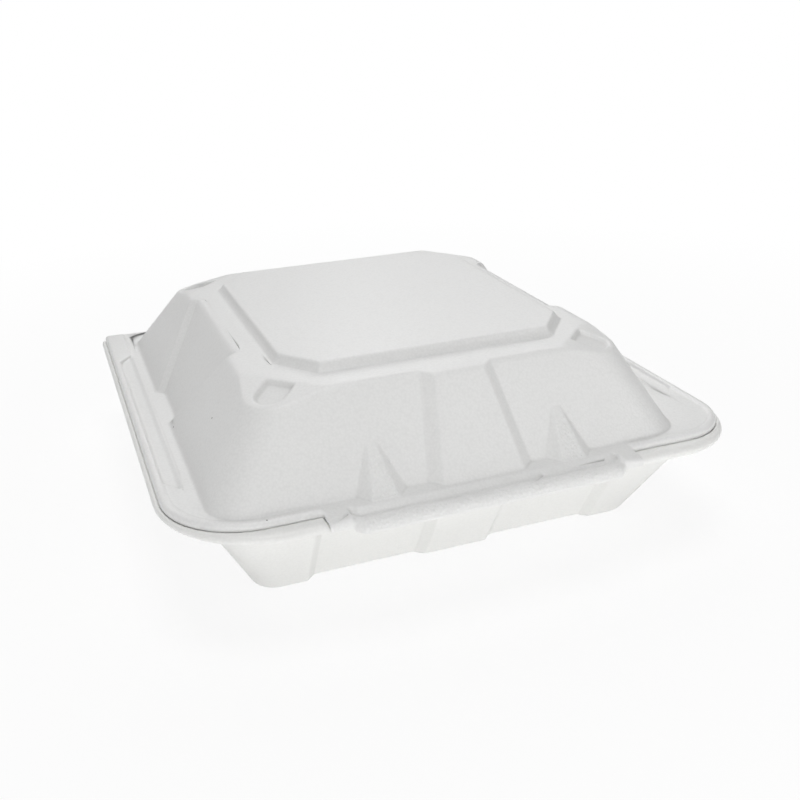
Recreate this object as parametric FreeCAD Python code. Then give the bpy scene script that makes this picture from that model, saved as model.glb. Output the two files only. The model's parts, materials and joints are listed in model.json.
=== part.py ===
# Hinged foam takeaway box, shown closed.
# One sheet of expanded foam is formed into a tray and a domed lid that fold together on a
# coined line along the back rim. The tray stands on a flat ring round a slightly raised floor.
# The lid has a stepped plateau with four stacking pockets, recessed side and back panels, a
# raised front panel, two hollow lock wedges and a grip bar that hooks over the front rim.
# X runs along the front, Y runs to the hinge, Z is up. The origin is the middle of the footprint
# on the surface that the box stands on. All sizes are in millimetres.
import FreeCAD
import Part

import math
import os

V = FreeCAD.Vector

# Whole box
WIDTH = 228.6
BACK_Y = 115.9
HEIGHT = 82.55
SHEET = 2.3
PARTING_GAP = 0.3
OVERSHOOT = 2.0
LEAST_ROUNDING = 1.0
ROOT_DEPTH = 6.9
REGION_REACH = 9.9
EDGE_STEPS = 3

# Rim of the tray
RIM_UNDERSIDE = 40.5
RIM_FRONT_Y = -111.0
RIM_LEFT_CORNER_RADIUS = 41.0
RIM_RIGHT_CORNER_RADIUS = 33.0
HINGE_CORNER_RADIUS = 3.0
RIM_LIP_HEIGHT = 1.2
RIM_CROWN_RUN = 3.2
RIM_CROWN_DROP = 1.9
RIM_UNDER_ROUNDING = 1.2
LIP_INNER_ROUNDING = 0.6
RIM_TO_LID_CLEARANCE = 0.25

# Flange of the lid
LID_EDGE_INSET = 1.9
LID_FRONT_INSET = 7.0
LID_LEFT_CORNER_RADIUS = 32.0
LID_RIGHT_CORNER_RADIUS = 25.0
BEAD_WIDTH = 3.4
BEAD_HEIGHT = 0.7
BEAD_EDGE_RUN = 1.7
BEAD_EDGE_DROP = 1.6
CHANNEL_WIDTH = 5.6
CHANNEL_DEPTH = 0.8
CHANNEL_FROM_RIM_FRONT = 43.0
CHANNEL_FROM_HINGE = 35.9
CHANNEL_END_SLANT = 8.0
HINGE_PAD_FROM_HINGE = 2.4

# Walls of the dome; its right wall stands further in and steeper than the left one
DOME_HALF_WIDTH = 98.6
DOME_RIGHT_HALF_WIDTH = 88.4
DOME_FROM_RIM_FRONT = 12.2
DOME_FROM_HINGE = 8.3
DOME_DRAFT_DEG = 34.0
DOME_RIGHT_DRAFT_DEG = 27.5
WALL_CORNER_RADIUS = 14.0
SHOULDER_RADIUS = 4.0
SHOULDER_STEPS = 4
RING_BELOW_TOP = 3.5

# Plateau on the dome
PLATEAU_HALF_WIDTH = 59.3
PLATEAU_FROM_RIM_FRONT = 51.0
PLATEAU_FROM_HINGE = 44.0
PLATEAU_CHAMFER_X = 12.0
PLATEAU_CHAMFER_Y = 15.5
PLATEAU_UPPER_STEP = 2.0
PLATEAU_UPPER_RUN = 1.0
PLATEAU_LOWER_RUN = 1.7
PLATEAU_EDGE_ROUNDING = 0.6

# Sloping corners of the dome with their stacking pockets
CORNER_SLOPE_DEG = 14.5
CORNER_SLOPE_REACH = 19.0
POCKET_FROM_SLOPE = 1.0
POCKET_WIDTH = 12.5
POCKET_LENGTH = 14.5
POCKET_DEPTH = 1.8
POCKET_WALL_DEG = 35.0

# Recessed panels in the side and back walls of the dome
PANEL_RECESS = 3.3
PANEL_END_RUN = 3.0
SIDE_PANEL_CENTRE_Y = 9.8
SIDE_PANEL_TOP_HALF = 40.7
SIDE_PANEL_BOTTOM_HALF = 17.8
BACK_PANEL_TOP_HALF = 38.0
BACK_PANEL_BOTTOM_HALF = 18.0

# Raised panel in the front wall of the dome
FRONT_PANEL_RAISE = 4.3
FRONT_PANEL_END_RUN = 4.6
FRONT_PANEL_TOP_HALF = 14.2
FRONT_PANEL_BOTTOM_HALF = 20.6

# Hollow lock wedges of the lid, and the posts of the tray that stand in them
WEDGE_SPACING = 74.6
WEDGE_MIDDLE_X = -1.1
WEDGE_HEIGHT = 15.4
WEDGE_WALL_HALF = 9.3
WEDGE_FACE_HALF = 4.9
WEDGE_PROUD = 5.4
WEDGE_TIP_FACE_HALF = 1.4
WEDGE_TIP_PROUD = 0.4
WEDGE_FACE_LOSS = 0.33
WEDGE_LEAST_FACE_HALF = 0.3
POST_CLEARANCE = 0.8
POST_THICKNESS = 3.0
POST_HEIGHT = 10.5
POST_LEAST_HALF = 0.8

# Lock slits scored in the tab of the lid
SLIT_LENGTH = 6.4
SLIT_WIDTH = 1.4
SLIT_DEPTH = 1.1
SLIT_TURN_DEG = 32.0
SLIT_FROM_WEDGE_X = 17.8
SLIT_FROM_RIM_FRONT = 1.7

# Front tab and grip bar of the lid
TAB_HALF = 61.5
TAB_BEYOND_RIM = 1.2
TAB_CLEARANCE = 0.35
TAB_ABOVE_RIM_FOOT = 0.9
TAB_END_DROP = 1.2
TAB_END_CLEARANCE = 0.12
BAR_HALF = 53.0
BAR_END_RUN = 3.0
BAR_END_SETBACK = 3.0
BAR_REACH = 4.9
BAR_FALL_FROM_NOSE = 10.7
BAR_VALLEY_FROM_NOSE = 6.5
BAR_VALLEY_DROP = 1.5
BAR_VALLEY_FLAT = 1.2
BAR_CREST_FROM_NOSE = 4.0
BAR_CREST_DROP = 0.8
BAR_NOSE_DROP = 3.4
BAR_BELOW_RIM = 0.6
BAR_CLEARANCE = 0.5
BAR_ROUNDING = 0.8
BAR_UNDER_ROUNDING = 1.4

# Body of the tray
TRAY_HALF_WIDTH = 99.6
TRAY_FROM_RIM_FRONT = 11.4
TRAY_FROM_HINGE = 8.0
TRAY_SIDE_DRAFT_DEG = 25.0
TRAY_FRONT_DRAFT_DEG = 30.3
TRAY_FOOT_CORNER_RADIUS = 9.0
FLOOR_SHOULDER_RADIUS = 3.0
TRAY_PANEL_RECESS = 3.4
TRAY_PANEL_END_RUN = 3.2
CORNER_PILLAR_LENGTH = 37.8
MIDDLE_PILLAR_HALF = 13.0
FLOOR_RISE = 1.4
FOOT_RING_WIDTH = 9.0
FLOOR_CORNER_RADIUS = 8.0

# Levels, edges and slopes that follow from the sizes above
TRAY_FLANGE_TOP = RIM_UNDERSIDE + SHEET
LID_UNDERSIDE = TRAY_FLANGE_TOP + PARTING_GAP
LID_FLANGE_TOP = LID_UNDERSIDE + SHEET
RING_Z = HEIGHT - RING_BELOW_TOP
RIM_HALF = WIDTH / 2
LID_HALF = RIM_HALF - LID_EDGE_INSET
BEAD_INNER_HALF = LID_HALF - BEAD_WIDTH
LID_FRONT_Y = RIM_FRONT_Y + LID_FRONT_INSET
DOME_FRONT_Y = RIM_FRONT_Y + DOME_FROM_RIM_FRONT
DOME_BACK_Y = BACK_Y - DOME_FROM_HINGE
DOME_MIDDLE_Y = (DOME_FRONT_Y + DOME_BACK_Y) / 2
DOME_DRAFT = math.tan(math.radians(DOME_DRAFT_DEG))
DOME_RIGHT_DRAFT = math.tan(math.radians(DOME_RIGHT_DRAFT_DEG))
DOME_RISE = RING_Z - LID_FLANGE_TOP
DOME_RUN = DOME_DRAFT * DOME_RISE
RING_HALF = DOME_HALF_WIDTH - DOME_RUN
RING_RIGHT_HALF = DOME_RIGHT_HALF_WIDTH - DOME_RIGHT_DRAFT * DOME_RISE
TRAY_FRONT_Y = RIM_FRONT_Y + TRAY_FROM_RIM_FRONT
TRAY_BACK_Y = BACK_Y - TRAY_FROM_HINGE
TRAY_SIDE_DRAFT = math.tan(math.radians(TRAY_SIDE_DRAFT_DEG))
TRAY_FRONT_DRAFT = math.tan(math.radians(TRAY_FRONT_DRAFT_DEG))


def rounded_outline(left, right, front, back, radii, z):
    """Closed wire of a rectangle with rounded corners, at height z.

    The radii are those of the front left, front right, back right and back left corners.
    """
    corners = [(left, front, 1, 1), (right, front, -1, 1), (right, back, -1, -1), (left, back, 1, -1)]
    arcs = []
    for index, ((x, y, to_x, to_y), radius) in enumerate(zip(corners, radii)):
        along_y = V(x, y + to_y * radius, z)
        along_x = V(x + to_x * radius, y, z)
        bow = radius * (1 - math.sqrt(0.5))
        middle = V(x + to_x * bow, y + to_y * bow, z)
        ends = (along_y, along_x) if index % 2 == 0 else (along_x, along_y)
        arcs.append((ends[0], middle, ends[1]))
    edges = []
    for index, (start, middle, end) in enumerate(arcs):
        edges.append(Part.LineSegment(arcs[index - 1][2], start).toShape())
        edges.append(Part.Arc(start, middle, end).toShape())
    return Part.Wire(edges)


def polygon(points):
    """Closed wire through the points."""
    return Part.makePolygon(list(points) + [points[0]])


def ruled_solid(wires):
    """Solid with straight rulings from each wire to the next."""
    return Part.makeLoft(wires, True, True)


def prism_along_x(profile, x_start, x_end):
    """Solid of a (y, z) profile between two places along X."""
    face = Part.Face(polygon([V(x_start, y, z) for y, z in profile]))
    return face.extrude(V(x_end - x_start, 0, 0))


def plan_prism(points, z_low, z_high):
    """Solid of an (x, y) outline between two heights."""
    face = Part.Face(polygon([V(x, y, z_low) for x, y in points]))
    return face.extrude(V(0, 0, z_high - z_low))


def mirrored_x(shape):
    """Copy of the shape on the other side of the plane x = 0."""
    return shape.mirror(V(0, 0, 0), V(1, 0, 0))


def mirrored_pair(shape):
    """The shape and its copy on the other side of the plane x = 0."""
    return [shape, mirrored_x(shape)]


def turned(shape, degrees, centre=V(0, 0, 0)):
    """Copy of the shape turned about the vertical line through the centre."""
    copy = shape.copy()
    copy.rotate(centre, V(0, 0, 1), degrees)
    return copy


def edge_round(run, drop):
    """Inset and drop pairs of a rounded edge, from its side to its top."""
    pairs = []
    for step in range(EDGE_STEPS + 1):
        turn = math.pi / 2 * step / EDGE_STEPS
        pairs.append((run * (1 - math.cos(turn)), drop * (1 - math.sin(turn))))
    return pairs


def shoulder_profile(rise, draft, radius):
    """Inset and height pairs of the rounded shoulder that ends a drafted wall."""
    angle = math.atan(draft)
    centre_inset = rise * draft + radius * math.tan((math.pi / 2 - angle) / 2)
    pairs = []
    for step in range(SHOULDER_STEPS + 1):
        turn = angle + (math.pi / 2 - angle) * step / SHOULDER_STEPS
        inset = centre_inset - radius * math.cos(turn)
        height = rise - radius + radius * math.sin(turn)
        pairs.append((inset, height))
    return pairs


def wall_growth(offset, slope):
    """How far a sloping wall or end moves sideways for a sheet of even thickness."""
    return offset * math.sqrt(1 + slope * slope)


def shell_block(bounds, foot_z, crown_z, drafts, radii, shoulder, offset, start_z):
    """Drafted block with a rounded shoulder, from start_z to its crown.

    The bounds are left, right, front and back at the foot. The drafts are those of the left wall,
    the right wall, and the front and back walls, and the radii those of the vertical corners at
    the foot and at the crown. Every face is moved inwards by the offset. With its crown below its
    foot the block stands upside down.
    """
    up = 1 if crown_z > foot_z else -1
    rise = abs(crown_z - foot_z) - offset
    left, right, front, back = bounds
    rounding = max(shoulder - offset, LEAST_ROUNDING)
    low = (start_z - foot_z) * up
    walls = []
    for draft in drafts:
        growth = wall_growth(offset, draft)
        pairs = [(draft * low, low)] + shoulder_profile(rise, draft, rounding)
        walls.append([inset + growth for inset, _ in pairs])
    levels = [low] + [level for _, level in shoulder_profile(rise, drafts[-1], rounding)]
    wires = []
    for left_inset, right_inset, end_inset, level in zip(*walls, levels):
        share = min(max(level / rise, 0.0), 1.0)
        corner = radii[0] + (radii[1] - radii[0]) * share - offset
        wires.append(rounded_outline(left + left_inset, right - right_inset, front + end_inset,
                                     back - end_inset, [corner] * 4, foot_z + up * level))
    return ruled_solid(wires)


def wall_region(face_at, half_at, spread, outward, inward, z_low, z_high):
    """Region across a wall that faces -Y, about x = 0.

    face_at and half_at give the wall's place and the region's half width at a height. The half
    width grows by the spread for each millimetre outwards.
    """
    wires = []
    for z in (z_low, z_high):
        face = face_at(z)
        near = half_at(z) + spread * outward
        deep = half_at(z) - spread * inward
        wires.append(polygon([
            V(-deep, face + inward, z),
            V(-near, face - outward, z),
            V(near, face - outward, z),
            V(deep, face + inward, z),
        ]))
    return ruled_solid(wires)


def dome_block(offset, start_z, side_inset=0.0, front=DOME_FRONT_Y, back=DOME_BACK_Y):
    """The dome as a plain block."""
    bounds = (side_inset - DOME_HALF_WIDTH, DOME_RIGHT_HALF_WIDTH - side_inset, front, back)
    return shell_block(bounds, LID_FLANGE_TOP, RING_Z, (DOME_DRAFT, DOME_RIGHT_DRAFT, DOME_DRAFT),
                       (WALL_CORNER_RADIUS, WALL_CORNER_RADIUS), SHOULDER_RADIUS, offset, start_z)


def dome_region(wall, draft, halves, spread, growth, outward, inward):
    """Region across a wall of the dome that faces -Y, with its half widths at the foot and the top."""
    bottom_half, top_half = halves
    slope = (top_half - bottom_half) / DOME_RISE
    return wall_region(
        lambda z: -wall + draft * (z - LID_FLANGE_TOP),
        lambda z: bottom_half + slope * (z - LID_FLANGE_TOP) + growth,
        spread, outward, inward, LID_UNDERSIDE - 2 * OVERSHOOT, HEIGHT)


def dome_recess_regions(offset):
    """Regions of the recessed panels in the side and back walls of the dome."""
    spread = PANEL_END_RUN / PANEL_RECESS
    growth = wall_growth(offset, spread)
    reach = REGION_REACH
    sides = []
    for wall, draft in ((DOME_HALF_WIDTH, DOME_DRAFT), (DOME_RIGHT_HALF_WIDTH, DOME_RIGHT_DRAFT)):
        region = dome_region(wall, draft, (SIDE_PANEL_BOTTOM_HALF, SIDE_PANEL_TOP_HALF), spread, growth,
                             reach, reach)
        side = turned(region, -90)
        side.translate(V(0, SIDE_PANEL_CENTRE_Y, 0))
        sides.append(side)
    back = dome_region(DOME_BACK_Y, DOME_DRAFT, (BACK_PANEL_BOTTOM_HALF, BACK_PANEL_TOP_HALF), spread,
                       growth, reach, reach)
    return [sides[0], mirrored_x(sides[1]), turned(back, 180)]


def front_panel(offset, start_z):
    """The raised panel of the front wall with its sloping ends."""
    spread = -FRONT_PANEL_END_RUN / FRONT_PANEL_RAISE
    proud = dome_block(offset, start_z, front=DOME_FRONT_Y - FRONT_PANEL_RAISE)
    region = dome_region(-DOME_FRONT_Y, DOME_DRAFT, (FRONT_PANEL_BOTTOM_HALF, FRONT_PANEL_TOP_HALF), spread,
                         -wall_growth(offset, spread), FRONT_PANEL_RAISE + OVERSHOOT, ROOT_DEPTH)
    return proud.common(region)


def on_corner_slope(tool, offset):
    """A tool laid on the sloping front left corner, along the diagonal from where the slope starts."""
    corner = V(-RING_HALF, DOME_FRONT_Y + DOME_RUN, RING_Z - offset)
    tool.rotate(V(0, 0, 0), V(0, 1, 0), CORNER_SLOPE_DEG)
    tool.rotate(V(0, 0, 0), V(0, 0, 1), -135)
    tool.translate(corner + V(CORNER_SLOPE_REACH, CORNER_SLOPE_REACH, 0) * math.sqrt(0.5))
    return tool


def corner_slope_tool(offset):
    """What the sloping front left corner takes off the ring of the dome."""
    reach = CORNER_SLOPE_REACH
    return on_corner_slope(Part.makeBox(2 * reach, 6 * reach, reach, V(0, -3 * reach, 0)), offset)


def pocket_outline(grow, z):
    """Outline of a stacking pocket: straight at its start, round at its tip, grown sideways."""
    half = POCKET_WIDTH / 2 + grow
    tip = POCKET_FROM_SLOPE + POCKET_LENGTH + grow
    start = POCKET_FROM_SLOPE - grow
    bend = tip - half
    return Part.Wire([
        Part.LineSegment(V(start, half, z), V(start, -half, z)).toShape(),
        Part.LineSegment(V(start, -half, z), V(bend, -half, z)).toShape(),
        Part.Arc(V(bend, -half, z), V(tip, 0, z), V(bend, half, z)).toShape(),
        Part.LineSegment(V(bend, half, z), V(start, half, z)).toShape(),
    ])


def stacking_pocket(offset):
    """Stacking pocket of the front left corner, sunk evenly into the sloping face."""
    spread = math.tan(math.radians(POCKET_WALL_DEG))
    growth = wall_growth(offset, spread)
    pocket = ruled_solid([
        pocket_outline(growth - spread * POCKET_DEPTH, -POCKET_DEPTH),
        pocket_outline(growth + spread * OVERSHOOT, OVERSHOOT),
    ])
    return on_corner_slope(pocket, offset)


def four_corners(front_left):
    """A front left corner tool and its copies at the other corners of the dome."""
    back_left = front_left.mirror(V(0, DOME_MIDDLE_Y, 0), V(0, 1, 0))
    lefts = [front_left, back_left]
    rights = [mirrored_x(shape) for shape in lefts]
    for shape in rights:
        shape.translate(V(RING_RIGHT_HALF - RING_HALF, 0, 0))
    return lefts + rights


def plateau_outline(grow, z):
    """Outline of the plateau with its chamfered corners, grown sideways."""
    half = PLATEAU_HALF_WIDTH + grow
    front = RIM_FRONT_Y + PLATEAU_FROM_RIM_FRONT - grow
    back = BACK_Y - PLATEAU_FROM_HINGE + grow
    steep = math.hypot(1 / PLATEAU_CHAMFER_X, 1 / PLATEAU_CHAMFER_Y)
    ratio = PLATEAU_CHAMFER_X / PLATEAU_CHAMFER_Y
    leg_x = PLATEAU_CHAMFER_X + grow * (1 + ratio - PLATEAU_CHAMFER_X * steep)
    leg_y = PLATEAU_CHAMFER_Y + grow * (1 + 1 / ratio - PLATEAU_CHAMFER_Y * steep)
    right = [
        V(half - leg_x, front, z),
        V(half, front + leg_y, z),
        V(half, back - leg_y, z),
        V(half - leg_x, back, z),
    ]
    return polygon(right + [V(-p.x, p.y, z) for p in reversed(right)])


def plateau(offset):
    """The plateau with its step in two stages."""
    foot = PLATEAU_UPPER_RUN + PLATEAU_LOWER_RUN
    levels = [
        (foot, RING_Z - SHEET),
        (foot, RING_Z),
        (PLATEAU_UPPER_RUN, HEIGHT - PLATEAU_UPPER_STEP),
        (PLATEAU_EDGE_ROUNDING / 2, HEIGHT - PLATEAU_EDGE_ROUNDING),
        (-PLATEAU_EDGE_ROUNDING / 2, HEIGHT),
    ]
    return ruled_solid([plateau_outline(grow - offset, z - offset) for grow, z in levels])


def wedge_front(z, offset):
    """Place along Y of the wedge's front face at a height."""
    slope = DOME_DRAFT + (WEDGE_PROUD - WEDGE_TIP_PROUD) / WEDGE_HEIGHT
    surface = DOME_FRONT_Y - WEDGE_PROUD + slope * (z - LID_FLANGE_TOP)
    return surface + wall_growth(offset, slope)


def wedge_face_half(z, offset):
    """Half width of the wedge's front face at a height."""
    share = (z - LID_FLANGE_TOP) / WEDGE_HEIGHT
    half = WEDGE_FACE_HALF + (WEDGE_TIP_FACE_HALF - WEDGE_FACE_HALF) * share
    return max(half - offset * WEDGE_FACE_LOSS, WEDGE_LEAST_FACE_HALF)


def both_wedge_places(shape):
    """Copies of the shape at the two wedges."""
    copies = []
    for side in (-1, 1):
        copy = shape.copy()
        copy.translate(V(WEDGE_MIDDLE_X + side * WEDGE_SPACING / 2, 0, 0))
        copies.append(copy)
    return copies


def wedges(offset, start_z):
    """The two lock wedges of the front wall."""
    spread = (WEDGE_WALL_HALF - WEDGE_FACE_HALF) / WEDGE_PROUD
    wires = []
    for z in (start_z, LID_FLANGE_TOP + WEDGE_HEIGHT - offset):
        front = wedge_front(z, offset)
        face = wedge_face_half(z, offset)
        deep = DOME_FRONT_Y + DOME_DRAFT * (z - LID_FLANGE_TOP) + ROOT_DEPTH
        root = face + spread * (deep - front)
        wires.append(polygon([
            V(-root, deep, z),
            V(-face, front, z),
            V(face, front, z),
            V(root, deep, z),
        ]))
    return both_wedge_places(ruled_solid(wires))


def dome(offset, start_z):
    """The whole outer form of the dome, with its faces moved inwards by the offset."""
    narrow = dome_block(offset, start_z, side_inset=PANEL_RECESS, back=DOME_BACK_Y - PANEL_RECESS)
    body = dome_block(offset, start_z).cut(dome_recess_regions(offset))
    body = body.fuse([narrow, front_panel(offset, start_z)])
    body = body.cut(four_corners(corner_slope_tool(offset)))
    body = body.fuse([plateau(offset)] + wedges(offset, start_z))
    return body.cut(four_corners(stacking_pocket(offset)))


def hinge_rounding_tool(centre_z, up):
    """What rounds one back edge of the sheet towards the coined hinge line."""
    reach = SHEET + OVERSHOOT
    low = centre_z if up else centre_z - reach
    box = Part.makeBox(2 * WIDTH, reach, reach, V(-WIDTH, BACK_Y - SHEET, low))
    roll = Part.makeCylinder(SHEET, 2 * WIDTH, V(-WIDTH, BACK_Y - SHEET, centre_z), V(1, 0, 0))
    return box.cut(roll)


def lid_outline(grow, z, back=BACK_Y):
    """Outline of the lid's flange, grown sideways."""
    radii = [LID_LEFT_CORNER_RADIUS + grow, LID_RIGHT_CORNER_RADIUS + grow]
    radii += [HINGE_CORNER_RADIUS] * 2
    return rounded_outline(-LID_HALF - grow, LID_HALF + grow, LID_FRONT_Y - grow, back, radii, z)


def channel_outline():
    """Plan outline of the shallow channel along the left flange."""
    outer = -BEAD_INNER_HALF
    inner = outer + CHANNEL_WIDTH
    front = RIM_FRONT_Y + CHANNEL_FROM_RIM_FRONT
    back = BACK_Y - CHANNEL_FROM_HINGE
    return [
        (inner, back),
        (outer, back - CHANNEL_END_SLANT),
        (outer, front + CHANNEL_END_SLANT),
        (inner, front),
    ]


def hinge_pad_outline():
    """Plan outline of the raised pad at the left end of the hinge."""
    outer = -BEAD_INNER_HALF - BEAD_WIDTH / 2
    inner = -BEAD_INNER_HALF + CHANNEL_WIDTH
    back = BACK_Y - HINGE_PAD_FROM_HINGE
    front = BACK_Y - CHANNEL_FROM_HINGE
    return [
        (inner, back),
        (outer, back),
        (outer, front - CHANNEL_END_SLANT),
        (-BEAD_INNER_HALF, front - CHANNEL_END_SLANT),
        (inner, front),
    ]


def lid_flange():
    """Flat flange of the lid with its edge bead, side channels and hinge pads."""
    bead_top = LID_FLANGE_TOP + BEAD_HEIGHT
    edge = [lid_outline(-inset, bead_top - drop) for inset, drop in edge_round(BEAD_EDGE_RUN, BEAD_EDGE_DROP)]
    slab = ruled_solid([lid_outline(0, LID_UNDERSIDE)] + edge)
    inside = ruled_solid([
        lid_outline(-BEAD_WIDTH, LID_FLANGE_TOP, BACK_Y + OVERSHOOT),
        lid_outline(-BEAD_WIDTH + BEAD_HEIGHT, LID_FLANGE_TOP + 2 * BEAD_HEIGHT, BACK_Y + OVERSHOOT),
    ])
    tab_clear = Part.makeBox(2 * TAB_HALF, BEAD_WIDTH * 3, OVERSHOOT,
                             V(-TAB_HALF, LID_FRONT_Y - BEAD_WIDTH, LID_FLANGE_TOP))
    channel = plan_prism(channel_outline(), LID_FLANGE_TOP - CHANNEL_DEPTH, HEIGHT)
    pad = plan_prism(hinge_pad_outline(), LID_UNDERSIDE + SHEET / 2, bead_top)
    flange = slab.cut([inside, tab_clear] + mirrored_pair(channel))
    return flange.fuse(mirrored_pair(pad))


def bar_profile(x, setback):
    """Section of the grip bar: it dips, crests and hooks down over the rim."""
    nose = RIM_FRONT_Y - BAR_REACH + setback
    bottom = RIM_UNDERSIDE - BAR_BELOW_RIM
    top = LID_FLANGE_TOP
    root = LID_FRONT_Y + BEAD_WIDTH
    hook = RIM_FRONT_Y - BAR_CLEARANCE
    crest = nose + BAR_CREST_FROM_NOSE
    crest_top = top - BAR_CREST_DROP
    rounding = edge_round(BAR_CREST_FROM_NOSE - BAR_ROUNDING, BAR_NOSE_DROP - BAR_CREST_DROP)
    profile = [
        (root, LID_UNDERSIDE),
        (root, top),
        (nose + BAR_FALL_FROM_NOSE, top),
        (nose + BAR_VALLEY_FROM_NOSE + BAR_VALLEY_FLAT / 2, top - BAR_VALLEY_DROP),
        (nose + BAR_VALLEY_FROM_NOSE - BAR_VALLEY_FLAT / 2, top - BAR_VALLEY_DROP),
        (crest + BAR_ROUNDING, crest_top),
    ]
    profile += [(nose + inset, crest_top - drop) for inset, drop in reversed(rounding)]
    profile += [
        (nose, bottom + BAR_UNDER_ROUNDING),
        (nose + BAR_UNDER_ROUNDING / 2, bottom),
        (hook, bottom),
        (hook, LID_UNDERSIDE),
    ]
    return polygon([V(x, y, z) for y, z in profile])


def grip_bar():
    """The grip bar along the front, set back at both ends."""
    straight = BAR_HALF - BAR_END_RUN
    places = [(-BAR_HALF, BAR_END_SETBACK), (-straight, 0), (straight, 0), (BAR_HALF, BAR_END_SETBACK)]
    return ruled_solid([bar_profile(x, setback) for x, setback in places])


def tab_profile(x, drop):
    """Section of the tab beside the grip bar, turned down over the rim."""
    root = LID_FRONT_Y + BEAD_WIDTH
    edge = RIM_FRONT_Y - TAB_BEYOND_RIM
    hook = RIM_FRONT_Y - TAB_CLEARANCE
    low = RIM_UNDERSIDE + TAB_ABOVE_RIM_FOOT
    top = LID_FLANGE_TOP - drop
    profile = [(root, LID_UNDERSIDE), (root, LID_FLANGE_TOP)]
    profile += [(edge + inset, top - fall) for inset, fall in reversed(edge_round(SHEET / 2, SHEET / 2))]
    profile += [(edge, low), (hook, low), (hook, LID_UNDERSIDE)]
    return polygon([V(x, y, z) for y, z in profile])


def tab_end():
    """Left end of the front tab, which falls to the level of the rim."""
    return ruled_solid([tab_profile(-TAB_HALF, TAB_END_DROP), tab_profile(-BAR_HALF, 0)])


def lock_slits():
    """The scored slit beside each wedge, to its left."""
    slits = []
    for side, drop in ((-1, 0.0), (1, BAR_VALLEY_DROP / 2)):
        slit = Part.makeBox(SLIT_LENGTH, SLIT_WIDTH, ROOT_DEPTH, V(-SLIT_LENGTH / 2, -SLIT_WIDTH / 2, 0))
        slit.rotate(V(0, 0, 0), V(0, 0, 1), SLIT_TURN_DEG)
        slit.translate(V(WEDGE_MIDDLE_X + side * WEDGE_SPACING / 2 - SLIT_FROM_WEDGE_X,
                         RIM_FRONT_Y + SLIT_FROM_RIM_FRONT, LID_FLANGE_TOP - drop - SLIT_DEPTH))
        slits.append(slit)
    return slits


def lid():
    """The lid as one formed sheet."""
    body = lid_flange().fuse([dome(0, LID_UNDERSIDE), grip_bar()] + mirrored_pair(tab_end()))
    return body.cut([dome(SHEET, LID_UNDERSIDE - OVERSHOOT), hinge_rounding_tool(LID_UNDERSIDE, True)]
                    + lock_slits()).removeSplitter()


def tray_block(offset, start_z, inset=0.0):
    """The tray's body as a plain block that stands upside down."""
    half = TRAY_HALF_WIDTH - inset
    return shell_block((-half, half, TRAY_FRONT_Y + inset, TRAY_BACK_Y - inset), RIM_UNDERSIDE, 0,
                       (TRAY_SIDE_DRAFT, TRAY_SIDE_DRAFT, TRAY_FRONT_DRAFT),
                       (WALL_CORNER_RADIUS, TRAY_FOOT_CORNER_RADIUS), FLOOR_SHOULDER_RADIUS, offset, start_z)


def tray_panel_pair(wall, half_length, draft, offset):
    """Regions of the two recessed panels in one wall that faces -Y."""
    spread = TRAY_PANEL_END_RUN / TRAY_PANEL_RECESS
    growth = wall_growth(offset, spread)
    half = (half_length - CORNER_PILLAR_LENGTH - MIDDLE_PILLAR_HALF) / 2
    region = wall_region(
        lambda z: -wall + draft * (RIM_UNDERSIDE - z),
        lambda z: half + growth,
        spread, 2 * TRAY_PANEL_RECESS, 2 * TRAY_PANEL_RECESS, -OVERSHOOT, LID_FLANGE_TOP + OVERSHOOT)
    region.translate(V(-MIDDLE_PILLAR_HALF - half, 0, 0))
    return mirrored_pair(region)


def tray_recess_regions(offset):
    """Regions of the recessed panels between the pillars, on all four walls."""
    middle_y = (TRAY_FRONT_Y + TRAY_BACK_Y) / 2
    half_depth = (TRAY_BACK_Y - TRAY_FRONT_Y) / 2
    regions = tray_panel_pair(-TRAY_FRONT_Y, TRAY_HALF_WIDTH, TRAY_FRONT_DRAFT, offset)
    for region in tray_panel_pair(TRAY_BACK_Y, TRAY_HALF_WIDTH, TRAY_FRONT_DRAFT, offset):
        regions.append(turned(region, 180))
    for region in tray_panel_pair(TRAY_HALF_WIDTH, half_depth, TRAY_SIDE_DRAFT, offset):
        side = turned(region, -90)
        side.translate(V(0, middle_y, 0))
        regions += mirrored_pair(side)
    return regions


def floor_rise(shrink, z_low, z_high):
    """Block that lifts the middle of the floor, with drafted sides."""
    ring = FOOT_RING_WIDTH + shrink
    x_inset = TRAY_SIDE_DRAFT * RIM_UNDERSIDE + ring
    y_inset = TRAY_FRONT_DRAFT * RIM_UNDERSIDE + ring
    wires = []
    for z, more in ((z_low, 0), (z_high, (z_high - z_low) * TRAY_FRONT_DRAFT)):
        half = TRAY_HALF_WIDTH - x_inset - more
        wires.append(rounded_outline(-half, half, TRAY_FRONT_Y + y_inset + more,
                                     TRAY_BACK_Y - y_inset - more, [FLOOR_CORNER_RADIUS] * 4, z))
    return ruled_solid(wires)


def tray_body(offset, start_z):
    """The tray's outer form below the flange, with its faces moved inwards by the offset."""
    body = tray_block(offset, start_z).cut(tray_recess_regions(offset))
    body = body.fuse(tray_block(offset, start_z, TRAY_PANEL_RECESS))
    return body.cut(floor_rise(-offset, offset - OVERSHOOT, offset + FLOOR_RISE))


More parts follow.
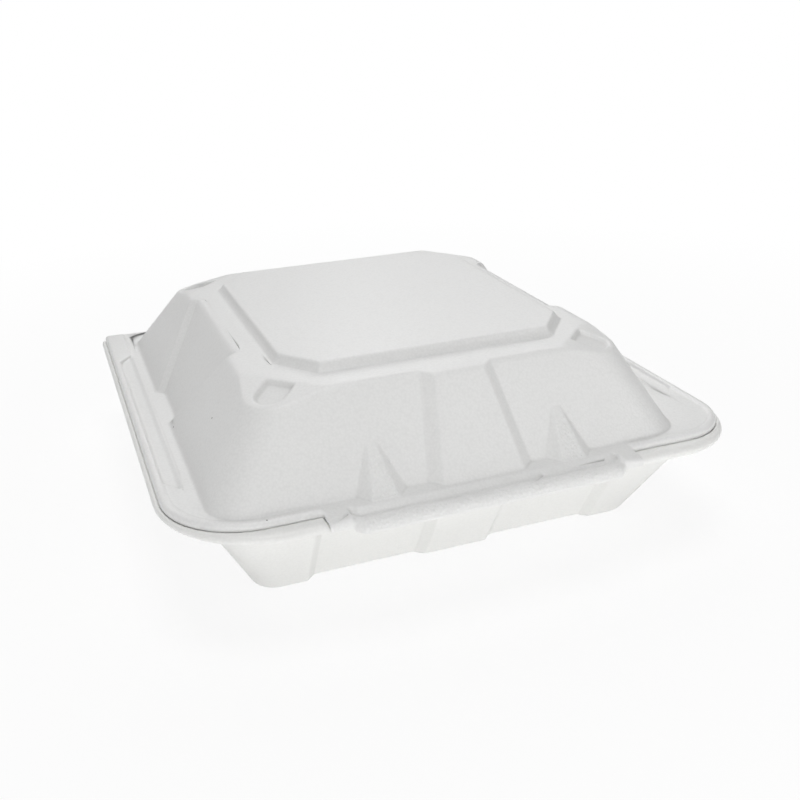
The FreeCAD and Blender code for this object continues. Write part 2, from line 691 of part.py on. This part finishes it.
def tray_flange():
    """Rim of the tray, with a low lip round the edge of the lid."""
    def outline(grow, z):
        radii = [RIM_LEFT_CORNER_RADIUS + grow, RIM_RIGHT_CORNER_RADIUS + grow]
        radii += [HINGE_CORNER_RADIUS] * 2
        return rounded_outline(-RIM_HALF - grow, RIM_HALF + grow, RIM_FRONT_Y - grow, BACK_Y, radii, z)
    lip_top = TRAY_FLANGE_TOP + RIM_LIP_HEIGHT
    under = reversed(edge_round(RIM_UNDER_ROUNDING, RIM_UNDER_ROUNDING))
    crown = edge_round(RIM_CROWN_RUN, RIM_CROWN_DROP)
    slab = ruled_solid([outline(-inset, RIM_UNDERSIDE + drop) for inset, drop in under]
                       + [outline(-inset, lip_top - drop) for inset, drop in crown])
    levels = [(0.0, TRAY_FLANGE_TOP)]
    levels += [(inset, lip_top - drop) for inset, drop in edge_round(LIP_INNER_ROUNDING, LIP_INNER_ROUNDING)]
    levels += [(LIP_INNER_ROUNDING, lip_top + OVERSHOOT)]
    seat = ruled_solid([
        lid_outline(RIM_TO_LID_CLEARANCE + grow, z, BACK_Y + OVERSHOOT) for grow, z in levels
    ])
    tab_half = TAB_HALF + TAB_END_CLEARANCE
    tab_seat = Part.makeBox(2 * tab_half, 4 * BEAD_WIDTH, OVERSHOOT,
                            V(-tab_half, LID_FRONT_Y - 3 * BEAD_WIDTH, TRAY_FLANGE_TOP))
    return slab.cut([seat, tab_seat])


def lock_posts():
    """The lock posts of the tray, inside the wedges."""
    wires = []
    for z in (TRAY_FLANGE_TOP - SHEET / 2, TRAY_FLANGE_TOP + POST_HEIGHT):
        front = wedge_front(z, SHEET) + POST_CLEARANCE
        half = max(wedge_face_half(z, SHEET) - POST_CLEARANCE / 2, POST_LEAST_HALF)
        wires.append(polygon([
            V(-half, front + POST_THICKNESS, z),
            V(-half, front, z),
            V(half, front, z),
            V(half, front + POST_THICKNESS, z),
        ]))
    return both_wedge_places(ruled_solid(wires))


def tray():
    """The tray as one formed sheet."""
    body = tray_flange().fuse(tray_body(0, RIM_UNDERSIDE + SHEET / 2))
    body = body.cut([tray_body(SHEET, LID_FLANGE_TOP), hinge_rounding_tool(TRAY_FLANGE_TOP, False)])
    return body.fuse(lock_posts()).removeSplitter()


def write_step(shape, name):
    """Write one sub-part and print what it is."""
    box = shape.BoundBox
    print(name, "solids", len(shape.Solids), "valid", shape.isValid(), "volume", round(shape.Volume),
          "x", round(box.XMin, 2), round(box.XMax, 2), "y", round(box.YMin, 2), round(box.YMax, 2),
          "z", round(box.ZMin, 2), round(box.ZMax, 2))
    shape.exportStep(os.path.join("parts", name + ".step"))


def main():
    """Build both shells."""
    os.makedirs("parts", exist_ok=True)
    write_step(tray(), "tray")
    write_step(lid(), "lid")


if __name__ == "__main__":
    main()
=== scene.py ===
"""Looks of a hinged foam takeaway box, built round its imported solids.

Each half of the box is expanded polystyrene foam sheet, formed hot in a mould. Heat leaves every
edge soft and the skin faintly grained by the foam's cells. The halves take their form from the
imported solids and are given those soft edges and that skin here. All sizes are in millimetres and
are turned to metres where a mesh, a lamp or the camera needs them.
"""

from __future__ import annotations

import json
import logging
import math
from dataclasses import dataclass
from enum import Enum

import bpy
from mathutils import Matrix, Vector

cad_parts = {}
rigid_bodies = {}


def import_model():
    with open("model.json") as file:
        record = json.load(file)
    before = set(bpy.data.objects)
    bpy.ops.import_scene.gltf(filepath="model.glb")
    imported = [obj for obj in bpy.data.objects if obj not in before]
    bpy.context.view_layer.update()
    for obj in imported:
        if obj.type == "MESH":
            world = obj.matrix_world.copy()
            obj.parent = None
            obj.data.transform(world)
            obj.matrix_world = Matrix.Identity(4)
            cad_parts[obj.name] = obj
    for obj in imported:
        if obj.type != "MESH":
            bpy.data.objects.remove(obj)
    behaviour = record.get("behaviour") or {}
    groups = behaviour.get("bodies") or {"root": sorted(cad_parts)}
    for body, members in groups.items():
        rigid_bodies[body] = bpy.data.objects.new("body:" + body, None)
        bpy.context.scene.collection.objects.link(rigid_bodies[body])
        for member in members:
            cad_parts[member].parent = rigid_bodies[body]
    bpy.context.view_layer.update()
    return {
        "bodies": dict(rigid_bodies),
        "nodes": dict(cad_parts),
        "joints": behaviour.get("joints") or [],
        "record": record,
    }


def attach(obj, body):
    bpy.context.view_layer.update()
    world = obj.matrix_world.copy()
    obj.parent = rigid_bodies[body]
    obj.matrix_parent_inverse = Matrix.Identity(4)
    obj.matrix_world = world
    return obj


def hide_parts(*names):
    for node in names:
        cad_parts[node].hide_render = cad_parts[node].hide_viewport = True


LOG = logging.getLogger("takeaway_box")
MM = 0.001
BOX_MIDDLE = (0.0, 0.0, 40.0)
FLAT_FACE_BEND = 0.5


def linear(hex_colour: str) -> tuple[float, float, float, float]:
    """Turn an sRGB hex colour to linear light.

    Args:
        hex_colour: Six hex digits after a hash sign.

    Returns:
        Red, green, blue and alpha in linear light.
    """
    channels = []
    for start in (1, 3, 5):
        value = int(hex_colour[start:start + 2], 16) / 255
        channels.append(value / 12.92 if value <= 0.04045 else ((value + 0.055) / 1.055) ** 2.4)
    return channels[0], channels[1], channels[2], 1.0


def add_node(tree: bpy.types.NodeTree, kind: str, inputs: dict | None = None,
             **settings: object) -> bpy.types.Node:
    """Add a shader node with its settings, values and links.

    Args:
        tree: The node tree that gets the node.
        kind: Blender's name of the node type.
        inputs: Value or source socket for each input, by name or by place.
        settings: Attributes of the node.

    Returns:
        The new node.
    """
    node = tree.nodes.new(kind)
    for name, value in settings.items():
        setattr(node, name, value)
    for key, value in (inputs or {}).items():
        if isinstance(value, bpy.types.NodeSocket):
            tree.links.new(value, node.inputs[key])
        else:
            node.inputs[key].default_value = value
    return node


class Grip(Enum):
    """Embossed grain that the mould puts on some faces."""

    NONE = "none"
    PEBBLED = "pebbled"


@dataclass(frozen=True)
class Zone:
    """Box in the lid's own frame where faces turned to the front get the embossed grain."""

    low: tuple[float, float, float]
    high: tuple[float, float, float]
    front_facing: float


@dataclass(frozen=True)
class Speck:
    """A dark fleck of recycled foam in the skin."""

    place: tuple[float, float, float]
    radius: float


@dataclass(frozen=True)
class FoamSkin:
    """Expanded polystyrene foam sheet, hot formed: matt white with a thin smooth skin.

    The cells under the skin make a grain of about a millimetre, and the sheet lets a little light
    through, so its shadows stay soft.
    """

    name: str
    colour: str
    cell_colour: str
    grip: Grip = Grip.NONE
    zones: tuple[Zone, ...] = ()
    specks: tuple[Speck, ...] = ()
    speck_colour: str = "#6F6B66"
    roughness: float = 0.34
    ior: float = 1.49
    scatter_weight: float = 0.25
    scatter_depth: float = 1.6
    # The foam's cells give a faint net under the skin, seen only from close by.
    cell_width: float = 0.95
    cell_height: float = 0.03
    cell_smoothness: float = 0.6
    cell_middle: float = 0.2
    cell_wall: float = 0.8
    # The finer grain breaks up the highlights, so that the skin looks matt and not glazed.
    grain_width: float = 0.6
    grain_height: float = 0.045
    grain_detail: float = 2.0
    # The slow waves keep the large faces from looking machined.
    wave_width: float = 26.0
    wave_height: float = 0.12
    wave_detail: float = 1.0
    # The embossed pebbles give the grip bar and the wedges a rough look.
    pebble_width: float = 1.2
    pebble_height: float = 0.3
    # Painted shade: bends sharper than the least one darken, as shade gathers in creases.
    crease_shade_colour: str = "#CFCFCD"
    least_bend: float = 0.008
    full_bend: float = 0.055

    def build(self) -> bpy.types.Material:
        """Make the material.

        Returns:
            The finished material.
        """
        material = bpy.data.materials.new(self.name)
        material.use_nodes = True
        tree = material.node_tree
        tree.nodes.clear()
        coordinates = add_node(tree, "ShaderNodeTexCoord")
        place = add_node(tree, "ShaderNodeVectorMath",
                         {0: coordinates.outputs["Object"], "Scale": 1 / MM},
                         operation="SCALE").outputs[0]
        cells = add_node(tree, "ShaderNodeTexVoronoi", {
            "Vector": place,
            "Scale": 1 / self.cell_width,
            "Smoothness": self.cell_smoothness,
        }, feature="SMOOTH_F1").outputs["Distance"]
        grain = add_node(tree, "ShaderNodeTexNoise", {
            "Vector": place,
            "Scale": 1 / self.grain_width,
            "Detail": self.grain_detail,
        }).outputs[0]
        waves = add_node(tree, "ShaderNodeTexNoise", {
            "Vector": place,
            "Scale": 1 / self.wave_width,
            "Detail": self.wave_detail,
        }).outputs[0]
        height = self.weighted_sum(tree, [(cells, self.cell_height), (grain, self.grain_height),
                                          (waves, self.wave_height)])
        if self.grip is Grip.PEBBLED:
            height = self.pebbled(tree, coordinates, place, height)
        bump = add_node(tree, "ShaderNodeBump",
                        {"Strength": 1.0, "Distance": MM, "Height": height})
        shader = add_node(tree, "ShaderNodeBsdfPrincipled", {
            "Base Color": self.colours(tree, place, cells),
            "Roughness": self.roughness,
            "IOR": self.ior,
            "Subsurface Weight": self.scatter_weight,
            "Subsurface Radius": (1.0, 1.0, 1.0),
            "Subsurface Scale": self.scatter_depth * MM,
            "Normal": bump.outputs[0],
        })
        add_node(tree, "ShaderNodeOutputMaterial", {"Surface": shader.outputs[0]})
        return material

    @staticmethod
    def weighted_sum(tree: bpy.types.NodeTree,
                     parts: list[tuple[bpy.types.NodeSocket, float]]) -> bpy.types.NodeSocket:
        """Add up sockets, each times its weight.

        Args:
            tree: The node tree to build in.
            parts: Sockets with their weights.

        Returns:
            The socket of the sum.
        """
        total = None
        for socket, weight in parts:
            addend = 0.0 if total is None else total
            total = add_node(tree, "ShaderNodeMath", {0: socket, 1: weight, 2: addend},
                             operation="MULTIPLY_ADD").outputs[0]
        return total

    def colours(self, tree: bpy.types.NodeTree, place: bpy.types.NodeSocket,
                cells: bpy.types.NodeSocket) -> bpy.types.NodeSocket:
        """Tint the cell walls, paint shade into the creases, and put in the specks.

        Painted shade darkens the creases, the more the sharper the surface bends.

        Args:
            tree: The node tree to build in.
            place: Place on the piece in millimetres.
            cells: Distance from the middle of a cell.

        Returns:
            The socket of the base colour.
        """
        tint = add_node(tree, "ShaderNodeMapRange", {
            "Value": cells,
            "From Min": self.cell_middle,
            "From Max": self.cell_wall,
        })
        colour = self.mixed(tree, tint, linear(self.colour), self.cell_colour)
        bend = add_node(tree, "ShaderNodeNewGeometry").outputs["Pointiness"]
        # Painted shade: the sharper a crease bends, the darker it is painted.
        crease_shade = add_node(tree, "ShaderNodeMapRange", {
            "Value": bend,
            "From Min": FLAT_FACE_BEND - self.least_bend,
            "From Max": FLAT_FACE_BEND - self.full_bend,
        })
        colour = self.mixed(tree, crease_shade, colour, self.crease_shade_colour)
        for speck in self.specks:
            distance = add_node(tree, "ShaderNodeVectorMath", {0: place, 1: speck.place},
                                operation="DISTANCE").outputs["Value"]
            inside = add_node(tree, "ShaderNodeMapRange", {
                "Value": distance,
                "From Min": speck.radius,
                "From Max": speck.radius / 2,
            })
            colour = self.mixed(tree, inside, colour, self.speck_colour)
        return colour

    @staticmethod
    def mixed(tree: bpy.types.NodeTree, share: bpy.types.Node,
              under: bpy.types.NodeSocket | tuple[float, float, float, float],
              over: str) -> bpy.types.NodeSocket:
        """Lay one colour over another where the share is high.

        Args:
            tree: The node tree to build in.
            share: The node whose first output says how much of the upper colour shows.
            under: The lower colour, as a socket or in linear light.
            over: The upper colour, as an sRGB hex colour.

        Returns:
            The socket of the mixed colour.
        """
        return add_node(tree, "ShaderNodeMix",
                        {"Factor": share.outputs[0], "A": under, "B": linear(over)},
                        data_type="RGBA").outputs["Result"]

    def pebbled(self, tree: bpy.types.NodeTree, coordinates: bpy.types.Node,
                place: bpy.types.NodeSocket, height: bpy.types.NodeSocket) -> bpy.types.NodeSocket:
        """Add the embossed grain inside the zones.

        Args:
            tree: The node tree to build in.
            coordinates: The texture coordinate node.
            place: Place on the piece in millimetres.
            height: Height of the skin so far, in millimetres.

        Returns:
            The socket of the new height.
        """
        pebbles = add_node(tree, "ShaderNodeTexVoronoi",
                           {"Vector": place, "Scale": 1 / self.pebble_width}).outputs["Distance"]
        axes = add_node(tree, "ShaderNodeSeparateXYZ", {0: place}).outputs
        facing = add_node(tree, "ShaderNodeSeparateXYZ",
                          {0: coordinates.outputs["Normal"]}).outputs["Y"]
        for zone in self.zones:
            mask = add_node(tree, "ShaderNodeMath", {0: facing, 1: -zone.front_facing},
                            operation="LESS_THAN").outputs[0]
            for axis, low, high in zip(axes, zone.low, zone.high):
                middle = (low + high) / 2
                near = add_node(tree, "ShaderNodeMath", {0: axis, 1: middle, 2: (high - low) / 2},
                                operation="COMPARE").outputs[0]
                mask = add_node(tree, "ShaderNodeMath", {0: mask, 1: near},
                                operation="MULTIPLY").outputs[0]
            raised = add_node(tree, "ShaderNodeMath", {0: pebbles, 1: mask},
                              operation="MULTIPLY").outputs[0]
            height = add_node(tree, "ShaderNodeMath",
                              {0: raised, 1: -self.pebble_height, 2: height},
                              operation="MULTIPLY_ADD").outputs[0]
        return height


@dataclass
class FormedSheet:
    """One half of the box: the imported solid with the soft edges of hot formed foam."""

    node: str
    body: str
    slot: str
    skin: FoamSkin
    cell: float = 0.45
    quick_cell: float = 1.0
    softening_passes: int = 10
    settling_passes: int = 1
    softening: float = 0.5
    # Share of the faces that thinning keeps: it leaves each half under 200,000 triangles.
    kept_share: float = 0.105

    def build(self, frame: dict) -> bpy.types.Object:
        """Make the half, dress it and tie it to its body.


        Returns:
            The finished half.
        """
        source = frame["nodes"][self.node]
        mesh = self.softened(source)
        mesh.materials.clear()
        mesh.materials.append(self.skin.build())
        piece = bpy.data.objects.new("formed_" + self.node, mesh)
        bpy.context.scene.collection.objects.link(piece)
        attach(piece, self.body)
        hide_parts(self.node)
        LOG.info("%s: %d faces", piece.name, len(mesh.polygons))
        return piece

    def softened(self, source: bpy.types.Object) -> bpy.types.Mesh:
        """Re-mesh the solid evenly, soften its edges and thin out the flat faces.

        Args:
            source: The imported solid.

        Returns:
            The new mesh.
        """
        work = bpy.data.objects.new("work", source.data.copy())
        bpy.context.scene.collection.objects.link(work)
        remesh = work.modifiers.new("even", "REMESH")
        remesh.mode = "VOXEL"
        remesh.voxel_size = self.cell * MM
        smooth = work.modifiers.new("soften", "SMOOTH")
        smooth.factor = self.softening
        smooth.iterations = self.softening_passes
        thin = work.modifiers.new("thin", "DECIMATE")
        thin.ratio = self.kept_share
        settle = work.modifiers.new("settle", "SMOOTH")
        settle.factor = self.softening
        settle.iterations = self.settling_passes
        evaluated = work.evaluated_get(bpy.context.evaluated_depsgraph_get())
        mesh = bpy.data.meshes.new_from_object(evaluated)
        bpy.data.objects.remove(work)
        mesh.name = self.node + "_sheet"
        mesh.shade_smooth()
        return mesh


@dataclass(frozen=True)
class SoftLamp:
    """A square softbox."""

    name: str
    place: tuple[float, float, float]
    target: tuple[float, float, float]
    width: float
    power: float

    def build(self) -> None:
        """Hang the lamp and point it at its target."""
        lamp = bpy.data.lights.new(self.name, "AREA")
        lamp.shape = "SQUARE"
        lamp.size = self.width * MM
        lamp.energy = self.power
        holder = bpy.data.objects.new(self.name, lamp)
        bpy.context.scene.collection.objects.link(holder)
        place = Vector(self.place) * MM
        holder.location = place
        towards = Vector(self.target) * MM - place
        holder.rotation_euler = towards.to_track_quat("-Z", "Y").to_euler()


@dataclass
class Studio:
    """White table, white surroundings, softboxes and the camera."""

    table_half: float = 6000.0
    table_colour: str = "#FCFCFC"
    table_glow: float = 0.17
    shadow_share: float = 0.12
    shadow_near: float = 180.0
    shadow_far: float = 520.0
    card_behind: float = 0.58
    card_left: float = 0.14
    camera_place: tuple[float, float, float] = (-137.413, -384.402, 211.069)
    camera_yaw: float = 20.494
    camera_pitch: float = 23.353
    camera_roll: float = -1.491
    lens: float = 43.87
    film_width: float = 36.0
    nearest_seen: float = 10.0
    lamps: tuple[SoftLamp, ...] = (
        SoftLamp("top_softbox", (0, -60, 1500), BOX_MIDDLE, 700, 9.1),
        SoftLamp("front_left_softbox", (-440, -1005, 150), BOX_MIDDLE, 700, 5.5),
        SoftLamp("near_right_softbox", (307, -532, 126), BOX_MIDDLE, 330, 0.76),
        SoftLamp("back_softbox", (0, 1072, 940), BOX_MIDDLE, 900, 2.8),
        SoftLamp("back_right_softbox", (573, 993, 843), BOX_MIDDLE, 700, 2.5),
    )

    def build(self) -> None:
        """Set up everything round the box."""
        self.table()
        self.surroundings()
        for lamp in self.lamps:
            lamp.build()
        self.camera()

    def table(self) -> None:
        """Lay a white table that keeps a pale shadow and throws soft light up at the tray."""
        half = self.table_half * MM
        mesh = bpy.data.meshes.new("table")
        corners = [(-half, -half, 0), (half, -half, 0), (half, half, 0), (-half, half, 0)]
        mesh.from_pydata(corners, [], [(0, 1, 2, 3)])
        table = bpy.data.objects.new("table", mesh)
        bpy.context.scene.collection.objects.link(table)
        material = bpy.data.materials.new("white laminate")
        material.use_nodes = True
        tree = material.node_tree
        tree.nodes.clear()
        matt = add_node(tree, "ShaderNodeBsdfDiffuse", {"Color": linear(self.table_colour)})
        white = add_node(tree, "ShaderNodeEmission", {"Color": (1, 1, 1, 1), "Strength": 1.0})
        path = add_node(tree, "ShaderNodeLightPath")
        strength = add_node(tree, "ShaderNodeMath", {
            0: path.outputs["Is Camera Ray"],
            1: -self.table_glow,
            2: self.table_glow,
        }, operation="MULTIPLY_ADD")
        glow = add_node(tree, "ShaderNodeEmission",
                        {"Color": (1, 1, 1, 1), "Strength": strength.outputs[0]})
        lit = add_node(tree, "ShaderNodeAddShader", {0: matt.outputs[0], 1: glow.outputs[0]})
        place = add_node(tree, "ShaderNodeTexCoord").outputs["Object"]
        distance = add_node(tree, "ShaderNodeVectorMath", {0: place},
                            operation="LENGTH").outputs["Value"]
        whiteness = add_node(tree, "ShaderNodeMapRange", {
            "Value": distance,
            "From Min": self.shadow_near * MM,
            "From Max": self.shadow_far * MM,
            "To Min": 1 - self.shadow_share,
            "To Max": 1.0,
        })
        share = add_node(tree, "ShaderNodeMath",
                         {0: path.outputs["Is Camera Ray"], 1: whiteness.outputs[0]},
                         operation="MULTIPLY")
        mixed = add_node(tree, "ShaderNodeMixShader",
                         {0: share.outputs[0], 1: lit.outputs[0], 2: white.outputs[0]})
        add_node(tree, "ShaderNodeOutputMaterial", {"Surface": mixed.outputs[0]})
        mesh.materials.append(material)

    def surroundings(self) -> None:
        """Set a dark room with a lit white card behind the table and a greyer one to its left."""
        world = bpy.data.worlds.new("studio_room")
        bpy.context.scene.world = world
        world.use_nodes = True
        tree = world.node_tree
        tree.nodes.clear()
        path = add_node(tree, "ShaderNodeLightPath")
        direction = add_node(tree, "ShaderNodeTexCoord").outputs["Generated"]
        axes = add_node(tree, "ShaderNodeSeparateXYZ", {0: direction}).outputs
        behind = add_node(tree, "ShaderNodeMath", {0: axes["Y"], 1: 0.0}, operation="MAXIMUM")
        lit_behind = add_node(tree, "ShaderNodeMath", {0: behind.outputs[0], 1: self.card_behind},
                              operation="MULTIPLY")
        left = add_node(tree, "ShaderNodeMath", {0: axes["X"], 1: 0.0}, operation="MINIMUM")
        room = add_node(tree, "ShaderNodeMath",
                        {0: left.outputs[0], 1: -self.card_left, 2: lit_behind.outputs[0]},
                        operation="MULTIPLY_ADD")
        strength = add_node(tree, "ShaderNodeMapRange", {
            "Value": path.outputs["Is Camera Ray"],
            "To Min": room.outputs[0],
            "To Max": 1.0,
        })
        card = add_node(tree, "ShaderNodeBackground",
                        {"Color": (1, 1, 1, 1), "Strength": strength.outputs[0]})
        add_node(tree, "ShaderNodeOutputWorld", {"Surface": card.outputs[0]})

    def camera(self) -> None:
        """Set the camera at the photograph's viewing angle."""
        yaw = math.radians(self.camera_yaw)
        pitch = math.radians(self.camera_pitch)
        roll = math.radians(self.camera_roll)
        forward = Vector((math.sin(yaw) * math.cos(pitch), math.cos(yaw) * math.cos(pitch),
                          -math.sin(pitch)))
        level = Vector((math.cos(yaw), -math.sin(yaw), 0.0))
        above = level.cross(forward)
        right = math.cos(roll) * level + math.sin(roll) * above
        up = math.cos(roll) * above - math.sin(roll) * level
        data = bpy.data.cameras.new("camera")
        data.lens = self.lens
        data.sensor_width = self.film_width
        data.clip_start = self.nearest_seen * MM
        camera = bpy.data.objects.new("camera", data)
        bpy.context.scene.collection.objects.link(camera)
        turn = Matrix((right, up, -forward)).transposed().to_4x4()
        camera.matrix_world = Matrix.Translation(Vector(self.camera_place) * MM) @ turn
        bpy.context.scene.camera = camera


TRAY_SKIN = FoamSkin(
    name="expanded polystyrene, moulded tray",
    colour="#F0F0EE",
    cell_colour="#ECECEA",
)

LID_SKIN = FoamSkin(
    name="expanded polystyrene, moulded lid",
    colour="#EDEDEC",
    cell_colour="#E8E8E7",
    specks=(
        Speck((-97.8, -15.4, 46.5), 0.45),
        Speck((-87.1, -49.0, 62.5), 0.45),
        Speck((-80.7, -102.6, 46.1), 0.4),
    ),
    grip=Grip.PEBBLED,
    zones=(
        Zone((-49.5, -115.9, 41.6), (49.5, -111.0, 45.2), 0.15),
        Zone((-43.9, -106.0, 46.0), (-32.9, -92.0, 60.5), 0.6),
        Zone((30.7, -106.0, 46.0), (41.7, -92.0, 60.5), 0.6),
    ),
)


def main() -> None:
    """Load the frame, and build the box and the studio."""
    logging.basicConfig(level=logging.INFO)
    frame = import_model()
    for half in (
        FormedSheet("tray", "tray", "foam_tray", TRAY_SKIN),
        FormedSheet("lid", "lid", "foam_lid", LID_SKIN),
    ):
        half.build(frame)
    Studio().build()
    bpy.context.scene.view_settings.view_transform = "Standard"


if __name__ == "__main__":
    main()
